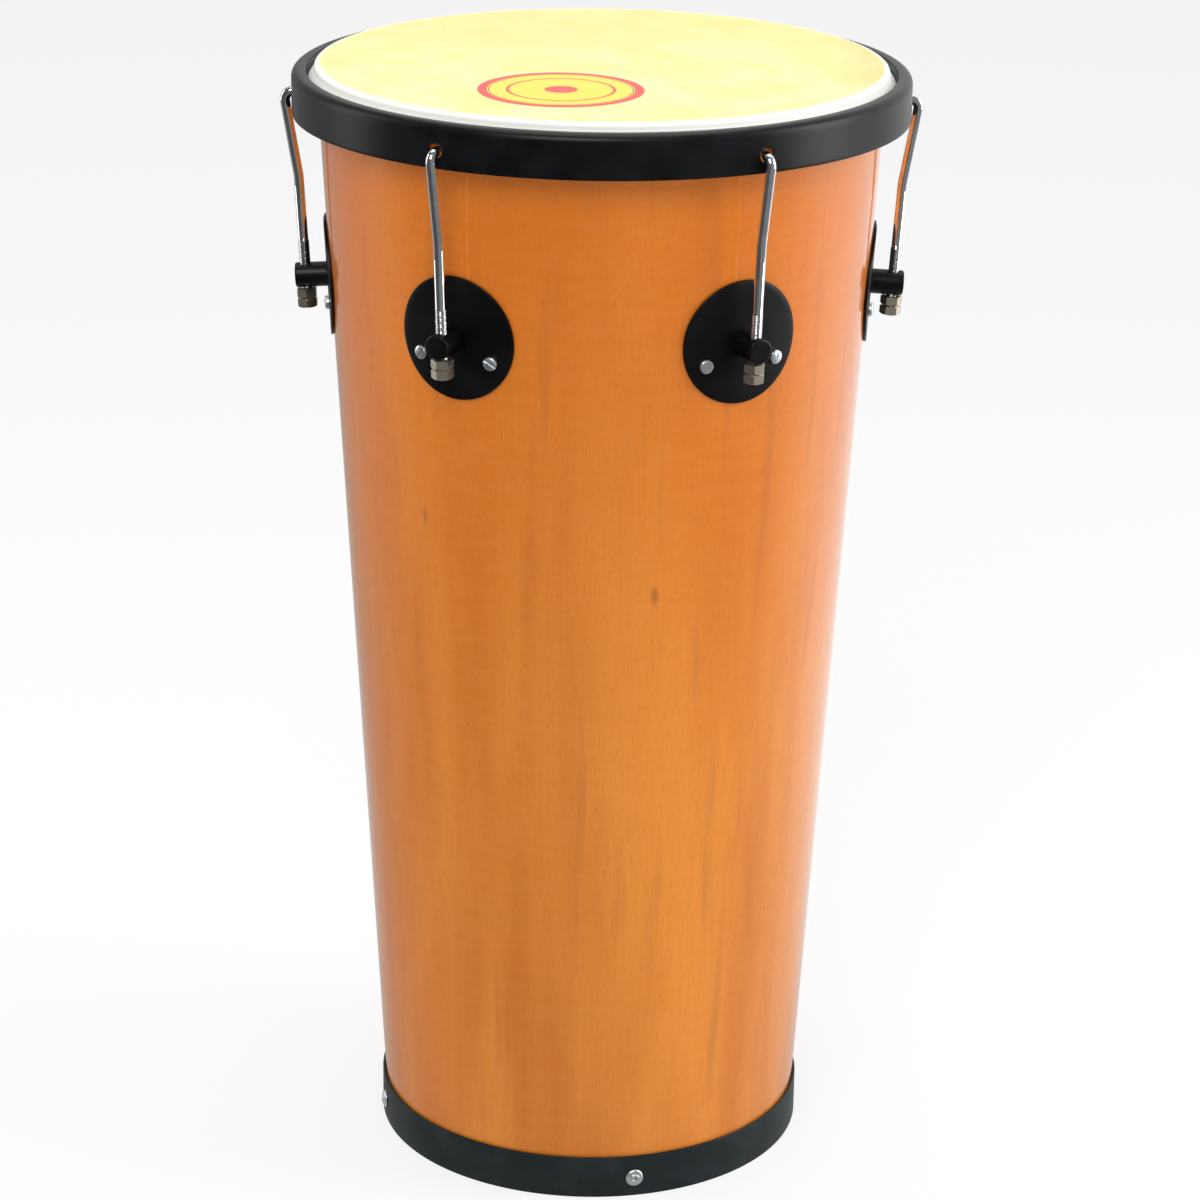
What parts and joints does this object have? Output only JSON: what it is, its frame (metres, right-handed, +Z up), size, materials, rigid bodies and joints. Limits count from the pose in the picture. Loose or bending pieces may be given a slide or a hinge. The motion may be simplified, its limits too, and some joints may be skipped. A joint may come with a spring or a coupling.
{
  "type": "rebolo drum",
  "caption": "Tall conical rebolo hand drum: lacquered wood shell, tucked skin head, black tension hoop with tuning hooks, lugs and a steel foot band.",
  "frame": {"origin": "centre of the drum's foot, on the floor it stands on", "axes": "+Z up the drum's axis to the head; -Y is the front, midway between lugs 1 and 2; +X is the player's right"},
  "size_m": [0.3356, 0.3226, 0.6],
  "materials": {
    "lacquered_plywood": "clear gloss lacquer over orange-brown veneer",
    "drum_skin": "smooth pale yellow film",
    "flesh_hoop_aluminium": "plain mill finish",
    "black_enamel": "satin black enamel",
    "hook_chrome": "bright chrome",
    "nut_nickel": "dull nickel plate",
    "zinc_steel": "bright zinc plate",
    "rivet_aluminium": "bright aluminium"
  },
  "bodies": {
    "drum": {"shell": "lacquered_plywood", "drum_head": "drum_skin", "foot_band": "black_enamel", "foot_band_rivet_1": "rivet_aluminium", "foot_band_rivet_2": "rivet_aluminium", "foot_band_rivet_3": "rivet_aluminium", "foot_band_rivet_4": "rivet_aluminium", "lug_plate_1": "black_enamel", "lug_plate_2": "black_enamel", "lug_plate_3": "black_enamel", "lug_plate_4": "black_enamel", "lug_plate_5": "black_enamel", "lug_plate_6": "black_enamel", "lug_post_1": "black_enamel", "lug_post_2": "black_enamel", "lug_post_3": "black_enamel", "lug_post_4": "black_enamel", "lug_post_5": "black_enamel", "lug_post_6": "black_enamel", "lug_bolt_1": "zinc_steel", "lug_bolt_2": "zinc_steel", "lug_bolt_3": "zinc_steel", "lug_bolt_4": "zinc_steel", "lug_bolt_5": "zinc_steel", "lug_bolt_6": "zinc_steel", "plate_screw_left_1": "zinc_steel", "plate_screw_left_2": "zinc_steel", "plate_screw_left_3": "zinc_steel", "plate_screw_left_4": "zinc_steel", "plate_screw_left_5": "zinc_steel", "plate_screw_left_6": "zinc_steel", "plate_screw_right_1": "zinc_steel", "plate_screw_right_2": "zinc_steel", "plate_screw_right_3": "zinc_steel", "plate_screw_right_4": "zinc_steel", "plate_screw_right_5": "zinc_steel", "plate_screw_right_6": "zinc_steel"},
    "hoops": {"tension_hoop": "black_enamel", "flesh_hoop": "flesh_hoop_aluminium"},
    "hook_1": {"tension_hook_1": "hook_chrome"},
    "nuts_1": {"tension_nut_1": "nut_nickel", "lock_nut_1": "nut_nickel"},
    "hook_2": {"tension_hook_2": "hook_chrome"},
    "nuts_2": {"tension_nut_2": "nut_nickel", "lock_nut_2": "nut_nickel"},
    "hook_3": {"tension_hook_3": "hook_chrome"},
    "nuts_3": {"tension_nut_3": "nut_nickel", "lock_nut_3": "nut_nickel"},
    "hook_4": {"tension_hook_4": "hook_chrome"},
    "nuts_4": {"tension_nut_4": "nut_nickel", "lock_nut_4": "nut_nickel"},
    "hook_5": {"tension_hook_5": "hook_chrome"},
    "nuts_5": {"tension_nut_5": "nut_nickel", "lock_nut_5": "nut_nickel"},
    "hook_6": {"tension_hook_6": "hook_chrome"},
    "nuts_6": {"tension_nut_6": "nut_nickel", "lock_nut_6": "nut_nickel"}
  },
  "joints": [
    {"name": "hoop_travel", "type": "slide", "parent": "drum", "child": "hoops", "axis": [0, 0, 1], "range_m": [-0.004, 0.002]},
    {"name": "hook_slide_1", "type": "slide", "parent": "drum", "child": "hook_1", "axis": [-0.0286, -0.0495, 0.9984], "range_m": [-0.00402, 0.00202]},
    {"name": "nuts_turn_1", "type": "hinge", "parent": "drum", "child": "nuts_1", "pos_m": [-0.07776, -0.13469, 0.48383], "axis": [-0.0286, -0.0495, 0.9984], "range_deg": [-722, 1443]},
    {"name": "hook_slide_2", "type": "slide", "parent": "drum", "child": "hook_2", "axis": [0.0286, -0.0495, 0.9984], "range_m": [-0.00402, 0.00202]},
    {"name": "nuts_turn_2", "type": "hinge", "parent": "drum", "child": "nuts_2", "pos_m": [0.07776, -0.13469, 0.48383], "axis": [0.0286, -0.0495, 0.9984], "range_deg": [-722, 1443]},
    {"name": "hook_slide_3", "type": "slide", "parent": "drum", "child": "hook_3", "axis": [0.0572, 0, 0.9984], "range_m": [-0.00402, 0.00202]},
    {"name": "nuts_turn_3", "type": "hinge", "parent": "drum", "child": "nuts_3", "pos_m": [0.15552, 0, 0.48383], "axis": [0.0572, 0, 0.9984], "range_deg": [-722, 1443]},
    {"name": "hook_slide_4", "type": "slide", "parent": "drum", "child": "hook_4", "axis": [0.0286, 0.0495, 0.9984], "range_m": [-0.00402, 0.00202]},
    {"name": "nuts_turn_4", "type": "hinge", "parent": "drum", "child": "nuts_4", "pos_m": [0.07776, 0.13469, 0.48383], "axis": [0.0286, 0.0495, 0.9984], "range_deg": [-722, 1443]},
    {"name": "hook_slide_5", "type": "slide", "parent": "drum", "child": "hook_5", "axis": [-0.0286, 0.0495, 0.9984], "range_m": [-0.00402, 0.00202]},
    {"name": "nuts_turn_5", "type": "hinge", "parent": "drum", "child": "nuts_5", "pos_m": [-0.07776, 0.13469, 0.48383], "axis": [-0.0286, 0.0495, 0.9984], "range_deg": [-722, 1443]},
    {"name": "hook_slide_6", "type": "slide", "parent": "drum", "child": "hook_6", "axis": [-0.0572, 0, 0.9984], "range_m": [-0.00402, 0.00202]},
    {"name": "nuts_turn_6", "type": "hinge", "parent": "drum", "child": "nuts_6", "pos_m": [-0.15552, 0, 0.48383], "axis": [-0.0572, 0, 0.9984], "range_deg": [-722, 1443]}
  ],
  "couplings": [
    {"joint": "hook_slide_1", "follows": "hoop_travel", "ratio": 1.0016},
    {"joint": "nuts_turn_1", "follows": "hoop_travel", "rad_per_m": -6293.5},
    {"joint": "hook_slide_2", "follows": "hoop_travel", "ratio": 1.0016},
    {"joint": "nuts_turn_2", "follows": "hoop_travel", "rad_per_m": -6293.5},
    {"joint": "hook_slide_3", "follows": "hoop_travel", "ratio": 1.0016},
    {"joint": "nuts_turn_3", "follows": "hoop_travel", "rad_per_m": -6293.5},
    {"joint": "hook_slide_4", "follows": "hoop_travel", "ratio": 1.0016},
    {"joint": "nuts_turn_4", "follows": "hoop_travel", "rad_per_m": -6293.5},
    {"joint": "hook_slide_5", "follows": "hoop_travel", "ratio": 1.0016},
    {"joint": "nuts_turn_5", "follows": "hoop_travel", "rad_per_m": -6293.5},
    {"joint": "hook_slide_6", "follows": "hoop_travel", "ratio": 1.0016},
    {"joint": "nuts_turn_6", "follows": "hoop_travel", "rad_per_m": -6293.5}
  ]
}
